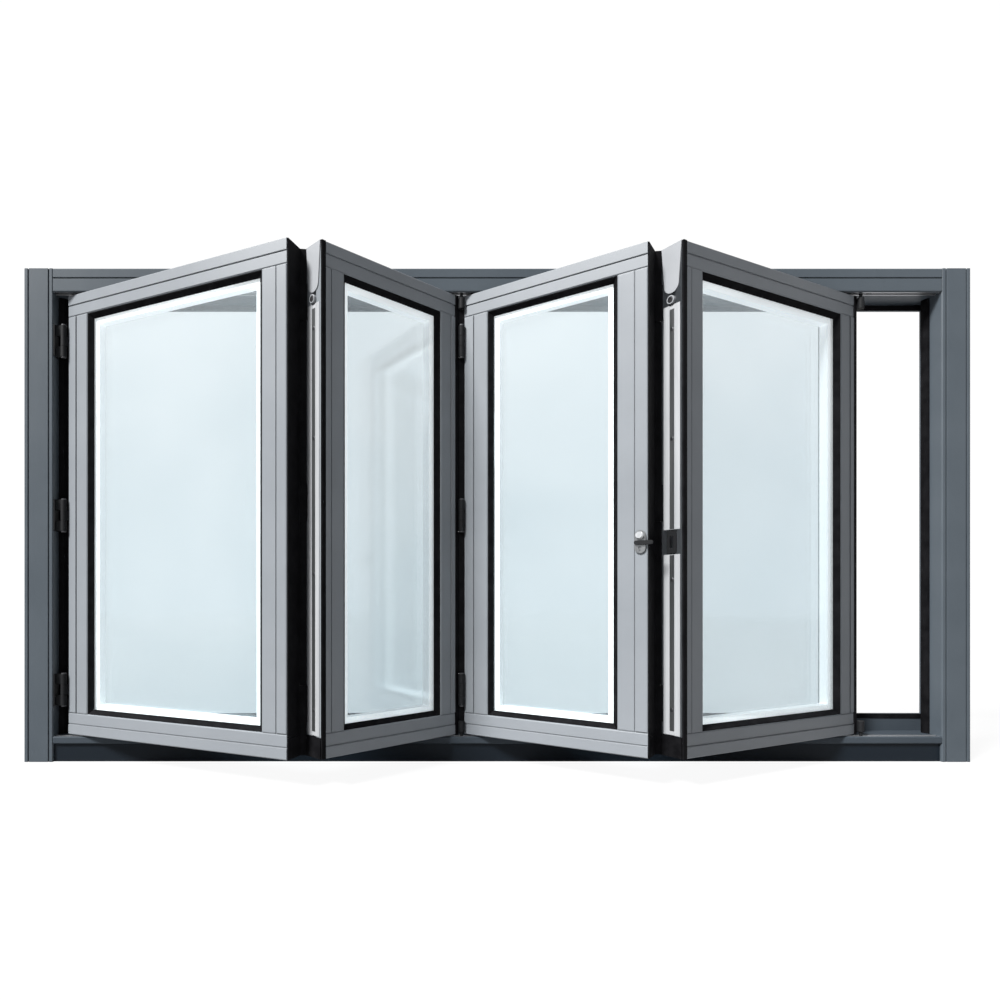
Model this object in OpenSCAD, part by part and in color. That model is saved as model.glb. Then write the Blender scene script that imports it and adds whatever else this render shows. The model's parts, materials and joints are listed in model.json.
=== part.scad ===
/* [Frame] */
// overall width of the outer frame
window_w = 2100; // [1700:10:2600]
// overall height of the outer frame
window_h = 1095; // [800:5:1500]
// depth of the outer frame from its front face to its back face
frame_d = 76; // [72:1:110]
// width of a jamb, seen from the front
jamb_w = 64; // [44:1:90]
// how much narrower a jamb is behind its rebate
jamb_rebate = 14; // [6:1:20]
// depth of the jamb behind its rebate
rebate_d = 24; // [20:1:28]
// height of the head above the leaves
head_h = 52; // [44:1:80]
// height of the sill under the leaves
sill_h = 56; // [48:1:90]
// height of the sill's lower part, which stands back under the nosing
sill_low_h = 40; // [20:1:40]
// how far the sill's lower part is set back
sill_set_back = 6; // [1:0.5:10]
// height of the stop behind the leaves at the sill
sill_stop_h = 40; // [12:1:50]
// height of the stop behind the leaves at the head
head_stop_h = 13; // [10:1:30]
// thickness of both stops
stop_t = 5; // [3:0.5:12]
// bevel along the frame's front edges
frame_bevel = 2; // [1:0.5:5]
// width of the shadow lines cut along the frame's face
shade_w = 3; // [1.5:0.5:4]
// depth of the shadow lines
shade_d = 3; // [1:0.5:4]
// distance of the outer shadow line from the jamb's outer side
shade_out = 8; // [6:1:14]
// distance of the inner shadow line from the jamb's inner side
shade_in = 8; // [6:1:14]
// distance of the head's shadow line from its top
shade_head = 20; // [8:1:26]

/* [Folding leaves] */
// width of leaves 1 and 4, which hang at the two ends
outer_leaf_w = 566; // [480:2:620]
// thickness of a leaf
leaf_t = 50; // [40:1:54]
// gap between two leaves when they are shut
leaf_gap = 6; // [5:0.5:8]
// clearance above and below a leaf
leaf_clear = 3; // [2:0.5:6]
// gap between a jamb and the nearest leaf when shut
hang_gap = 26; // [20:1:32]
// distance from the jamb hinge's axis to the edge of leaf 1
hang_lead = 7; // [6:0.5:10]
// distance from a hinge axis to the face of the leaf
axis_off = 7; // [7:0.5:10]
// how far the hinge axes on the track stand behind the front of the frame
track_in = 12; // [12:0.5:18]
// angle of leaf 2 to the shut window, as left open
fold_left = 39; // [5:1:80]
// angle of leaf 3 to the shut window, as left open
fold_right = 37.7; // [5:0.1:80]

/* [Leaf profile] */
// width of a stile, seen from the front
stile_w = 56; // [50:1:90]
// height of a rail, seen from the front
rail_w = 48; // [44:1:90]
// width of the rebate that the glass sits in
rebate_w = 14; // [12:1:18]
// thickness of the lip in front of the glass
glass_lip_t = 10; // [6:0.5:12]
// bevel on the lip beside the glass
lip_bevel = 2; // [1:0.5:3]
// how far the face beside the glass is set back from the face outside it
face_step = 1; // [0.5:0.25:2]
// distance of the face's shadow line from the leaf's edge
line_at = 22; // [16:1:30]
// width of the face's shadow line
line_w = 2.5; // [1.5:0.5:4]
// depth of the face's shadow line
line_d = 2.5; // [1.5:0.5:4]
// bevel on the leaf's outer edge
edge_bevel = 1.5; // [1:0.5:3]
// width of the cover seals' seats on leaves 2 and 4
cover_w = 10; // [6:1:14]
// depth of the cover seals' seats
cover_d = 3; // [2:0.5:4]
// width of the fittings groove in the stiles' outer edges
groove_w = 14; // [10:1:18]
// depth of the fittings groove
groove_d = 8; // [5:0.5:10]
// width of the shadow line where a stile meets a rail
joint_w = 1.5; // [1:0.5:3]

/* [Glass] */
// thickness of one pane
pane_t = 4; // [3:0.5:6]
// gap between the two panes
pane_gap = 18; // [12:1:19]
// thickness of the gasket on each side of the glass
gasket_t = 3; // [2:0.5:4]
// how far the sloping gasket shows inside the lip
gasket_show = 10; // [5:0.5:12]
// how far the glass reaches behind the lip
glass_hold = 9; // [7:0.5:11]
// distance from the lip's edge to the spacer's outer edge
spacer_in = 3; // [1:0.5:6]
// width of the spacer between the panes
spacer_w = 18; // [8:0.5:20]

/* [Hinges] */
// radius of a hinge knuckle
knuckle_r = 6.5; // [5:0.5:7.5]
// radius of a hinge pin
pin_r = 3; // [2:0.5:4]
// height of a hinge
hinge_h = 70; // [50:1:100]
// reach of a hinge flap over a leaf
flap_w = 41; // [30:1:50]
// thickness of a hinge flap
flap_t = 2.6; // [2:0.1:3.5]
// clearance between two knuckles
knuckle_gap = 0.5; // [0.3:0.1:1]
// clearance round a pin
pin_clear = 0.3; // [0.2:0.1:0.5]
// radius of the screw holes in the flaps
screw_r = 2.6; // [2:0.1:5]
// height of the lowest hinge's middle above the bottom of the leaf
low_hinge_z = 100; // [80:5:200]
// depth of the highest hinge's middle below the top of the leaf
high_hinge_z = 103; // [90:1:200]

/* [Track and carriers] */
// outside width of the two tracks
track_w = 16; // [15:1:22]
// height of the top track
track_h = 26; // [22:1:32]
// height of the bottom track
guide_h = 14; // [10:1:18]
// wall of both tracks
track_wall = 1.5; // [1:0.25:2]
// width of the slot in both tracks
slot_w = 8; // [7.5:0.5:10]
// radius of a carrier's wheels
wheel_r = 8; // [6:0.5:9]
// width of a carrier's wheels
wheel_w = 4; // [3:0.5:6]
// distance between a carrier's two wheels
wheel_base = 44; // [40:1:60]
// thickness of the hanger plate between the wheels
hanger_t = 3; // [2:0.5:5]
// radius of the pin that hangs from the carrier
hang_pin_r = 3.2; // [2.5:0.1:3.5]
// height of the knuckle and arm that join a carrier to its leaf
arm_h = 24; // [18:1:30]
// reach of that arm over the leaf's edge
arm_w = 34; // [24:1:44]
// distance of the arm from the leaf's top or bottom
arm_in = 6; // [3:1:20]

/* [Seals] */
// how far the left jamb's seal stands out
left_seal = 18; // [10:1:20]
// how far the right jamb's seal stands out
right_seal = 6; // [4:1:16]
// distance from the frame's front to the jamb seals
seal_in = 32; // [30:1:36]
// depth of the jamb seals
seal_d = 18; // [12:1:19]
// thickness of the seals on the stops
stop_seal_t = 1.5; // [1:0.25:2]
// height of the seal at the top of the sill's stop
stop_seal_h = 10; // [6:1:16]
// thickness of the seals on the leaves' edges
edge_seal_t = 2; // [1:0.5:2.5]
// clearance of the soft seals from the leaves they meet
seal_clear = 0.2; // [0.1:0.1:0.5]
// clearance of the webs between leaves from the hinges above and below
web_clear = 0.5; // [0.3:0.1:2]

/* [Edge fittings] */
// length of the plate at the top of the edge of leaves 2 and 4
plate_len = 92; // [60:1:110]
// width of that plate at its top
plate_top_w = 44; // [30:1:46]
// width of that plate at its rounded lower end
plate_low_w = 32; // [20:1:36]
// thickness of that plate
plate_t = 2; // [1.5:0.5:2.5]
// radius of the round boss under the plate
boss_r = 8; // [5:0.5:10]
// how far the boss stands out
boss_out = 5; // [2:0.5:5]
// distance from the plate's lower end to the boss's middle
boss_drop = 13; // [12:1:20]
// height of the caps at the foot of the leaves' edges
cap_h = 40; // [20:1:60]
// thickness of the caps
cap_t = 2; // [1.5:0.5:2.5]
// distance of the caps and edge seals from the leaf's two faces
cap_in = 3; // [2:0.5:8]

/* [Lock] */
// height of the lock's middle above the bottom of the leaf
lock_z = 412; // [300:1:600]
// distance from the leaf's edge to the middle of the lock
lock_in = 13; // [12:1:30]
// height of the lock's plate
lock_h = 44; // [36:1:70]
// width of the lock's plate
lock_w = 20; // [18:1:24]
// thickness of the lock's plate
lock_t = 4; // [3:0.5:6]
// radius of the lock's knob
knob_r = 7; // [5:0.5:8]
// how far the knob stands out of the plate
knob_out = 9; // [5:0.5:14]
// reach of the lock's lever from the middle of the lock
lever_reach = 24; // [20:1:30]
// thickness of the lever
lever_t = 4; // [3:0.5:6]
// width of the slot in the plate that the lock catches
keeper_slot = 8; // [5:0.5:12]

/* [Fixings] */
// radius of the fixing holes through the jambs
fix_r = 4; // [3:0.5:5]
// distance from the lowest fixing hole to the highest
fix_span = 800; // [500:10:1200]
// distance of the fixing holes from the back of the frame
fix_in = 12; // [9:0.5:14]

/* [Hidden] */
$fn = 32;
front_y = -frame_d / 2;
back_y = frame_d / 2;
rebate_y = back_y - rebate_d;
axis_y = front_y + track_in;
leaf_z = sill_h + leaf_clear;
leaf_h = window_h - head_h - sill_h - 2 * leaf_clear;
leaf_x0 = -window_w / 2 + jamb_w + hang_gap;
pair_w = (window_w - 2 * (jamb_w + hang_gap) - 3 * leaf_gap) / 2;
inner_leaf_w = pair_w - outer_leaf_w;
hang_x = leaf_x0 - hang_lead;
half_gap = leaf_gap / 2;
across = leaf_t + 2 * axis_off;
along1 = hang_lead + outer_leaf_w + half_gap;
along2 = leaf_gap + inner_leaf_w;
along4 = leaf_gap + outer_leaf_w;
// straight distances between the hinge axes at the two ends of each leaf
arm1 = sqrt(along1 * along1 + across * across);
arm2 = sqrt(along2 * along2 + across * across);
arm4 = sqrt(along4 * along4 + across * across);
// how far the two foremost hinge axes stand in front of the track
out_left = arm2 * sin(fold_left - atan2(across, along2));
out_right = arm2 * sin(fold_right - atan2(across, along2));
// angle of each leaf to the shut window: the outer leaf of a pair follows the inner one
turn1 = asin(out_left / arm1) + atan2(across, along1);
turn2 = fold_left;
turn3 = fold_right;
turn4 = asin(out_right / arm4) + atan2(across, along4);
// places of the hinge axes
apex1 = [hang_x + sqrt(arm1 * arm1 - out_left * out_left), axis_y - out_left];
valley_x = apex1[0] + sqrt(arm2 * arm2 - out_left * out_left);
apex2 = [valley_x + sqrt(arm2 * arm2 - out_right * out_right), axis_y - out_right];
end_x = apex2[0] + sqrt(arm4 * arm4 - out_right * out_right);
glass_y = glass_lip_t + gasket_t;
glass_back = glass_y + 2 * pane_t + pane_gap;
bead_y = glass_back + gasket_t;
groove_y = (leaf_t - groove_w) / 2;
hinge_z = [low_hinge_z, (low_hinge_z + leaf_h - high_hinge_z) / 2, leaf_h - high_hinge_z];
plate_z = leaf_h - plate_len;
metal = [0.36, 0.39, 0.43];
steel = [0.62, 0.63, 0.65];
dark_steel = [0.12, 0.12, 0.13];
rubber = [0.05, 0.05, 0.06];

// width of a leaf by its number
function leaf_w(n) = (n == 1 || n == 4) ? outer_leaf_w : inner_leaf_w;

// a point turned about the origin
function turned(p, a) = [p[0] * cos(a) - p[1] * sin(a), p[0] * sin(a) + p[1] * cos(a)];

// profile of a stile or rail: distance from the leaf's edge, then depth from the front face
function bar_section(w, seat) = concat(
    seat > 0 ? [[0, seat], [cover_w, seat], [cover_w, 0]] : [[0, edge_bevel], [edge_bevel, 0]],
    [[line_at, 0], [line_at, line_d], [line_at + line_w, line_d], [line_at + line_w, face_step],
    [w - lip_bevel, face_step], [w, face_step + lip_bevel], [w, glass_lip_t],
    [w - rebate_w, glass_lip_t], [w - rebate_w, leaf_t], [0, leaf_t],
    [0, groove_y + groove_w], [groove_d, groove_y + groove_w], [groove_d, groove_y], [0, groove_y]]);

gasket_section = [[-glass_hold, glass_lip_t], [0, glass_lip_t], [0, face_step + lip_bevel],
    [1.5, face_step + lip_bevel], [gasket_show, glass_y - 1], [gasket_show, glass_y],
    [-glass_hold, glass_y]];
back_gasket_section = [[-glass_hold, glass_back], [4, glass_back], [4, glass_back + 1], [2, bead_y],
    [-glass_hold, bead_y]];
bead_section = [[-rebate_w, bead_y], [2, bead_y], [0, leaf_t - 1], [-3, leaf_t], [-rebate_w, leaf_t]];

// a bar that stands on the ground line with its ends cut at 45 degrees, drawn from the edge of an opening
module mitred_bar(length, section) {
    reach = rebate_w + gasket_show;
    intersection() {
        translate([0, 0, -reach]) linear_extrude(length + 2 * reach) polygon(section);
        rotate([90, 0, 0])
            translate([0, 0, -2 * leaf_t])
                linear_extrude(4 * leaf_t)
                    polygon([[-reach, -reach], [reach, reach], [reach, length - reach],
                        [-reach, length + reach]]);
    }
}

// four mitred bars round the glass opening of a leaf
module glass_ring(n, section) {
    w = leaf_w(n) - 2 * stile_w;
    h = leaf_h - 2 * rail_w;
    translate([stile_w, 0, rail_w]) {
        mitred_bar(h, section);
        translate([w, 0, h]) rotate([0, 180, 0]) mitred_bar(h, section);
        translate([w, 0, 0]) rotate([0, -90, 0]) mitred_bar(w, section);
        translate([0, 0, h]) rotate([0, 90, 0]) mitred_bar(w, section);
    }
}

// puts a leaf's own drawing, which starts at its front left corner, where that leaf stands
module on_leaf(n) {
    if (n == 1) translate([hang_x, axis_y, leaf_z]) rotate([0, 0, -turn1])
        translate([hang_lead, axis_off, 0]) children();
    if (n == 2) translate([valley_x, axis_y, leaf_z]) rotate([0, 0, turn2])
        translate([-half_gap - inner_leaf_w, axis_off, 0]) children();
    if (n == 3) translate([valley_x, axis_y, leaf_z]) rotate([0, 0, -turn3])
        translate([half_gap, axis_off, 0]) children();
    if (n == 4) translate([end_x, axis_y, leaf_z]) rotate([0, 0, turn4])
        translate([-half_gap - outer_leaf_w, axis_off, 0]) children();
}

// one stile, cut back at both ends so that the rails run over it
module stile_bar(seat) {
    difference() {
        linear_extrude(leaf_h) polygon(bar_section(stile_w, seat));
        for (top = [0, 1]) translate([0, 0, top * leaf_h]) mirror([0, 0, top]) translate([-1, -1, -1]) {
            cube([stile_w + 2, leaf_t + 2, rail_w - rebate_w + 1]);
            cube([stile_w + 2, glass_lip_t + 1, rail_w + 1]);
            cube([stile_w + 2, joint_w + 1, rail_w + joint_w + 1]);
        }
    }
}

module stiles(n) {
    seat = (n == 2 || n == 4) ? cover_d : 0;
    color(metal) on_leaf(n) {
        stile_bar(seat);
        translate([leaf_w(n), 0, leaf_h]) rotate([0, 180, 0]) stile_bar(seat);
    }
}

module rails(n) {
    w = leaf_w(n);
    color(metal) on_leaf(n) difference() {
        union() {
            translate([w, 0, 0]) rotate([0, -90, 0]) linear_extrude(w) polygon(bar_section(rail_w, 0));
            translate([0, 0, leaf_h]) rotate([0, 90, 0]) linear_extrude(w) polygon(bar_section(rail_w, 0));
        }
        if (n == 2 || n == 4) for (x = [-1, w - cover_w])
            translate([x, -1, -1]) cube([cover_w + 1, cover_d + 1, leaf_h + 2]);
    }
}

// the glass gaskets of a leaf, the seals on its edges and faces, and the web to the next leaf
module gaskets(n) {
    color(rubber) {
        on_leaf(n) {
            glass_ring(n, gasket_section);
            glass_ring(n, back_gasket_section);
            if (n == 2 || n == 4) cover_seals(n);
            else edge_seal(n);
        }
        if (n == 1) apex_web(apex1, -turn1, turn2);
        if (n == 2) valley_web();
        if (n == 4) apex_web(apex2, -turn3, turn4);
    }
}

module beads(n) {
    color(metal) on_leaf(n) glass_ring(n, bead_section);
}

// the two sheets of a leaf's double glazing
module panes(n) {
    edge_x = stile_w - glass_hold;
    edge_z = rail_w - glass_hold;
    color([0.85, 0.93, 0.95, 0.5]) on_leaf(n) for (y = [glass_y, glass_back - pane_t])
        translate([edge_x, y, edge_z]) cube([leaf_w(n) - 2 * edge_x, pane_t, leaf_h - 2 * edge_z]);
}

module spacer(n) {
    w = leaf_w(n) - 2 * (stile_w + spacer_in);
    h = leaf_h - 2 * (rail_w + spacer_in);
    color([0.95, 0.95, 0.94]) on_leaf(n)
        translate([stile_w + spacer_in, glass_y + pane_t, rail_w + spacer_in]) difference() {
            cube([w, pane_gap, h]);
            translate([spacer_w, -1, spacer_w]) cube([w - 2 * spacer_w, pane_gap + 2, h - 2 * spacer_w]);
        }
}

// level profile of the left jamb, with two shadow lines on its face and a rebate behind
module jamb_shape() {
    difference() {
        polygon([[0, front_y + frame_bevel], [frame_bevel, front_y], [jamb_w - frame_bevel, front_y],
            [jamb_w, front_y + frame_bevel], [jamb_w, rebate_y], [jamb_w - jamb_rebate, rebate_y],
            [jamb_w - jamb_rebate, back_y], [0, back_y]]);
        for (x = [shade_out, jamb_w - shade_in - shade_w])
            translate([x, front_y - 1]) square([shade_w, shade_d + 1]);
    }
}

module fixing_holes() {
    for (z = [window_h / 2 - fix_span / 2, window_h / 2, window_h / 2 + fix_span / 2])
        translate([-1, back_y - fix_in, z]) rotate([0, 90, 0]) cylinder(h = jamb_w + 2, r = fix_r);
}

module left_jamb() {
    color(metal) translate([-window_w / 2, 0, 0]) difference() {
        linear_extrude(window_h) jamb_shape();
        fixing_holes();
    }
}

module right_jamb() {
    color(metal) translate([window_w / 2, 0, 0]) mirror([1, 0, 0]) difference() {
        linear_extrude(window_h) jamb_shape();
        fixing_holes();
    }
}

// a level bar between the jambs that leaves this much width to each of them
module between(side_w) {
    translate([-window_w / 2 + side_w, 0, 0]) rotate([90, 0, 90])
        linear_extrude(window_w - 2 * side_w) children();
}

module head() {
    low = window_h - head_h;
    color(metal) difference() {
        union() {
            between(jamb_w) polygon([[front_y, low + frame_bevel], [front_y + frame_bevel, low],
                [rebate_y, low], [rebate_y, window_h], [front_y + frame_bevel, window_h],
                [front_y, window_h - frame_bevel]]);
            between(jamb_w - jamb_rebate) polygon([[rebate_y - 1, low], [back_y - stop_t, low],
                [back_y - stop_t, low - head_stop_h], [back_y, low - head_stop_h], [back_y, window_h],
                [rebate_y, window_h],
                [rebate_y, low + 1]]);
        }
        between(0) translate([axis_y - track_w / 2, low - 1]) square([track_w, track_h + 1]);
        between(0) translate([front_y - 1, window_h - shade_head - shade_w]) square([shade_d + 1, shade_w]);
    }
}

module sill() {
    color(metal) difference() {
        union() {
            between(jamb_w) polygon([[front_y + sill_set_back, 0], [rebate_y, 0], [rebate_y, sill_h],
                [front_y + frame_bevel, sill_h], [front_y, sill_h - frame_bevel],
                [front_y, sill_low_h + frame_bevel],
                [front_y + frame_bevel, sill_low_h], [front_y + sill_set_back, sill_low_h]]);
            between(jamb_w - jamb_rebate) polygon([[rebate_y, 0], [back_y, 0], [back_y, sill_h + sill_stop_h],
                [back_y - stop_t, sill_h + sill_stop_h], [back_y - stop_t, sill_h], [rebate_y - 1, sill_h],
                [rebate_y - 1, sill_h - 1], [rebate_y, sill_h - 1]]);
        }
        between(0) translate([axis_y - track_w / 2, sill_h - guide_h]) square([track_w, guide_h + 1]);
    }
}

// a channel with a slot in its open side, drawn with the slot upwards
module channel_shape(h) {
    difference() {
        translate([axis_y - track_w / 2, -h]) square([track_w, h]);
        translate([axis_y - track_w / 2 + track_wall, track_wall - h])
            square([track_w - 2 * track_wall, h - 2 * track_wall]);
        translate([axis_y - slot_w / 2, -h / 2]) square([slot_w, h]);
    }
}

module top_track() {
    color(steel) translate([0, 0, window_h - head_h]) between(jamb_w) mirror([0, 1]) channel_shape(track_h);
}

module bottom_track() {
    color(steel) translate([0, 0, sill_h]) between(jamb_w) channel_shape(guide_h);
}

// a rubber nose on the side of a jamb, for the full height between head and sill
module jamb_seal(side, out) {
    translate([side * (jamb_w - window_w / 2), front_y + seal_in, sill_h])
        linear_extrude(window_h - head_h - sill_h)
        polygon([[0, 0], [side * out * 0.6, 1], [side * out, seal_d / 2], [side * out, seal_d - 1],
            [side * (out - 1), seal_d], [0, seal_d]]);
}

module jamb_seals() {
    color(rubber) {
        jamb_seal(1, left_seal);
        jamb_seal(-1, right_seal);
    }
}

// flat seals on the front of the two stops
module stop_seals() {
    color(rubber) {
        between(jamb_w - jamb_rebate)
            translate([back_y - stop_t - stop_seal_t, sill_h + sill_stop_h - stop_seal_h - 1])
                square([stop_seal_t, stop_seal_h]);
        between(jamb_w - jamb_rebate)
            translate([back_y - stop_t - stop_seal_t, window_h - head_h - head_stop_h + 1])
                square([stop_seal_t, head_stop_h - 2]);
    }
}

// soft strips in the seats on a leaf's face, which cover the joints beside them
module cover_seals(n) {
    nose = 0.6;
    strip = [[0, cover_d], [0, 0], [nose, -nose], [cover_w - seal_clear - nose, -nose],
        [cover_w - seal_clear, 0], [cover_w - seal_clear, cover_d]];
    linear_extrude(leaf_h) polygon(strip);
    translate([leaf_w(n), 0, leaf_h]) rotate([0, 180, 0]) linear_extrude(leaf_h) polygon(strip);
}

// a flat strip on the right edge of a leaf
module edge_seal(n) {
    translate([leaf_w(n), cap_in, cap_h + 1]) cube([edge_seal_t, leaf_t - 2 * cap_in, leaf_h - cap_h - 1]);
}

// level profile of a soft web across the narrow end of the wedge between two leaves
module wedge_web(left_turn, right_turn, face, low, high) {
    from = face > 0 ? axis_off : -axis_off - leaf_t;
    x = half_gap - seal_clear;
    polygon([for (p = [[-x, low], [-x, high]]) turned([p[0], from + p[1]], left_turn),
        for (p = [[x, high], [x, low]]) turned([p[0], from + p[1]], right_turn)]);
}

// heights between which a web is free of the three hinges
function web_ends(low, high) = [low, hinge_z[0] - hinge_h / 2, hinge_z[0] + hinge_h / 2,
    hinge_z[1] - hinge_h / 2, hinge_z[1] + hinge_h / 2,
    hinge_z[2] - hinge_h / 2, hinge_z[2] + hinge_h / 2, high];

module web_lengths(ends) {
    for (i = [0, 2, 4, 6]) translate([0, 0, leaf_z + ends[i] + web_clear])
        linear_extrude(ends[i + 1] - ends[i] - 2 * web_clear) children();
}

module apex_web(at, left_turn, right_turn) {
    translate([at[0], at[1], 0]) web_lengths(web_ends(-web_clear, leaf_h + web_clear))
        wedge_web(left_turn, right_turn, -1, leaf_t - cap_in + 0.5, leaf_t - 1);
}

// the web between leaves 2 and 3 also leaves room for the arms of the carrier and the guide
module valley_web() {
    translate([valley_x, axis_y, 0]) web_lengths(web_ends(arm_in + arm_h, leaf_h - arm_in - arm_h))
        wedge_web(turn2, -turn3, 1, 1.5, 8);
}

// knuckles of one half of a hinge: the outer two, or the middle one
module knuckles(outer) {
    third = hinge_h / 3;
    if (outer) {
        cylinder(h = third - knuckle_gap / 2, r = knuckle_r);
        translate([0, 0, 2 * third + knuckle_gap / 2]) cylinder(h = third - knuckle_gap / 2, r = knuckle_r);
    } else {
        translate([0, 0, third + knuckle_gap / 2]) cylinder(h = third - knuckle_gap, r = knuckle_r);
    }
}

// the heights at which a half's flap may reach in to the axis
module reach_in(outer, x0, y0, x1, y1) {
    third = hinge_h / 3;
    if (outer) {
        translate([x0, y0, 0]) cube([x1 - x0, y1 - y0, third - knuckle_gap / 2]);
        translate([x0, y0, 2 * third + knuckle_gap / 2]) cube([x1 - x0, y1 - y0, third - knuckle_gap / 2]);
    } else {
        translate([x0, y0, third + knuckle_gap / 2]) cube([x1 - x0, y1 - y0, third - knuckle_gap]);
    }
}

module pin_hole() {
    translate([0, 0, -1]) cylinder(h = hinge_h + 2, r = pin_r + pin_clear);
}

// half of a hinge whose flap lies on the back of its leaf; side is -1 for the leaf to the left
module back_half(side, outer) {
    near = knuckle_r + 1;
    difference() {
        union() {
            translate([side > 0 ? near : -flap_w, -axis_off, 0]) cube([flap_w - near, flap_t, hinge_h]);
            knuckles(outer);
            reach_in(outer, side > 0 ? 0 : -near - 1, -axis_off, side > 0 ? near + 1 : 0, -axis_off + flap_t);
        }
        pin_hole();
        for (z = [14, hinge_h - 14])
            translate([side * (flap_w - 14), -axis_off - 1, z]) rotate([-90, 0, 0])
                cylinder(h = flap_t + 2, r = screw_r);
    }
}

// half of a hinge whose flap lies on the edge of its leaf, this far from the axis
module edge_half(side, outer, edge) {
    near = knuckle_r + 1;
    x0 = side > 0 ? edge - flap_t : -edge;
    difference() {
        union() {
            translate([x0, near, 0]) cube([flap_t, flap_w - near, hinge_h]);
            knuckles(outer);
            reach_in(outer, x0, 0, x0 + flap_t, near + 1);
        }
        pin_hole();
    }
}

module at_hinges(at) {
    for (z = hinge_z) translate([at[0], at[1], leaf_z + z - hinge_h / 2]) children();
}

module apex_hinges_left() {
    color(dark_steel) at_hinges(apex1) {
        rotate([0, 0, -turn1]) back_half(-1, true);
        rotate([0, 0, turn2]) back_half(1, false);
    }
}

module apex_hinges_right() {
    color(dark_steel) at_hinges(apex2) {
        rotate([0, 0, -turn3]) back_half(-1, true);
        rotate([0, 0, turn4]) back_half(1, false);
    }
}

module valley_hinges() {
    color(dark_steel) at_hinges([valley_x, axis_y]) {
        rotate([0, 0, turn2]) edge_half(-1, true, half_gap);
        rotate([0, 0, -turn3]) edge_half(1, false, half_gap);
    }
}

module jamb_hinges() {
    wall_x = jamb_w - window_w / 2 - hang_x;
    plate = 3;
    color(dark_steel) at_hinges([hang_x, axis_y]) {
        rotate([0, 0, -turn1]) edge_half(1, false, hang_lead);
        difference() {
            union() {
                translate([wall_x, frame_bevel - track_in, 0]) cube([plate, 26, hinge_h]);
                knuckles(true);
                reach_in(true, wall_x, -flap_t, 0, flap_t);
            }
            pin_hole();
        }
    }
}

module hinge_pins() {
    head_h = 2;
    color(steel) for (at = [[hang_x, axis_y], apex1, [valley_x, axis_y], apex2]) at_hinges(at)
        translate([0, 0, -pin_clear]) {
            cylinder(h = hinge_h + 2 * pin_clear, r = pin_r);
            translate([0, 0, -head_h]) cylinder(h = head_h, r = knuckle_r - 1);
            translate([0, 0, hinge_h + 2 * pin_clear]) cylinder(h = head_h, r = knuckle_r - 1);
        }
}

// a hanger with four wheels inside the top track and a pin down to the knuckle on the leaf
module carrier() {
    top = window_h - head_h;
    wheel_z = top + track_wall + wheel_r;
    axle_len = hanger_t + 2 * wheel_w + 1;
    knuckle_z = leaf_z + leaf_h - arm_in - arm_h;
    translate([-wheel_base / 2 - 4, -hanger_t / 2, top + track_wall + 1])
        cube([wheel_base + 8, hanger_t, 2 * wheel_r - 2]);
    for (x = [-wheel_base / 2, wheel_base / 2]) {
        for (y = [-axle_len / 2, axle_len / 2 - wheel_w])
            translate([x, y, wheel_z]) rotate([-90, 0, 0]) cylinder(h = wheel_w, r = wheel_r);
        translate([x, -axle_len / 2, wheel_z]) rotate([-90, 0, 0]) cylinder(h = axle_len, r = wheel_r / 3);
    }
    translate([0, 0, knuckle_z + arm_h / 2])
        cylinder(h = top + wheel_r - knuckle_z - arm_h / 2, r = hang_pin_r);
    translate([0, 0, knuckle_z]) cylinder(h = arm_h, r = knuckle_r);
}

// the arm of a carrier or guide on the right edge of its leaf
module edge_arm(z) {
    from = (hang_pin_r + knuckle_r) / 2;
    translate([-half_gap, from, z]) cube([flap_t, arm_w - from, arm_h]);
}

module top_carriers() {
    z = leaf_z + leaf_h - arm_in - arm_h;
    color(dark_steel) for (place = [[valley_x, turn2], [end_x, turn4]]) translate([place[0], axis_y, 0]) {
        carrier();
        rotate([0, 0, place[1]]) edge_arm(z);
    }
}

module bottom_guides() {
    foot = sill_h - guide_h + track_wall + 1;
    color(dark_steel) for (place = [[valley_x, turn2], [end_x, turn4]]) translate([place[0], axis_y, 0]) {
        translate([0, 0, foot]) cylinder(h = leaf_z + arm_in + arm_h / 2 - foot, r = hang_pin_r);
        translate([0, 0, leaf_z + arm_in]) cylinder(h = arm_h, r = knuckle_r);
        rotate([0, 0, place[1]]) edge_arm(leaf_z + arm_in);
    }
}

// tapered plates with a rounded lower end on the left edges of leaves 2 and 4, each with a boss under it
module edge_plates() {
    r = plate_low_w / 2;
    color(metal) for (n = [2, 4]) on_leaf(n) {
        translate([-plate_t, leaf_t / 2, plate_z]) rotate([90, 0, 90]) linear_extrude(plate_t) {
            translate([0, r]) circle(r = r);
            polygon([[-r, r], [r, r], [plate_top_w / 2, plate_len], [-plate_top_w / 2, plate_len]]);
        }
        translate([-boss_out, leaf_t / 2, plate_z - boss_drop]) rotate([0, 90, 0]) {
            cylinder(h = boss_out, r = boss_r);
            cylinder(h = boss_out + groove_d, r = min(boss_r, groove_w / 2) - seal_clear);
        }
    }
}

module bottom_caps() {
    color(rubber) for (n = [1 : 4]) on_leaf(n)
        translate([(n == 1 || n == 3) ? leaf_w(n) : -cap_t, cap_in, 0])
            cube([cap_t, leaf_t - 2 * cap_in, cap_h]);
}

module on_lock() {
    on_leaf(3) translate([inner_leaf_w - lock_in, 0, lock_z]) rotate([90, 0, 0]) children();
}

// a rounded plate with a keyway at its foot and a bore for the knob above it
module handle_base() {
    r = lock_w / 2;
    color(steel) on_lock() difference() {
        linear_extrude(lock_t) union() {
            translate([0, lock_h / 2 - r]) circle(r = r);
            translate([0, r - lock_h / 2]) circle(r = r);
            translate([-r, r - lock_h / 2]) square([lock_w, lock_h - lock_w]);
        }
        translate([0, lock_h / 2 - r, -1]) cylinder(h = lock_t + 2, r = knob_r + pin_clear);
        translate([0, r - lock_h / 2, lock_t / 2]) linear_extrude(lock_t) {
            circle(r = 3);
            translate([-1, -6]) square([2, 6]);
        }
    }
}

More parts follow.
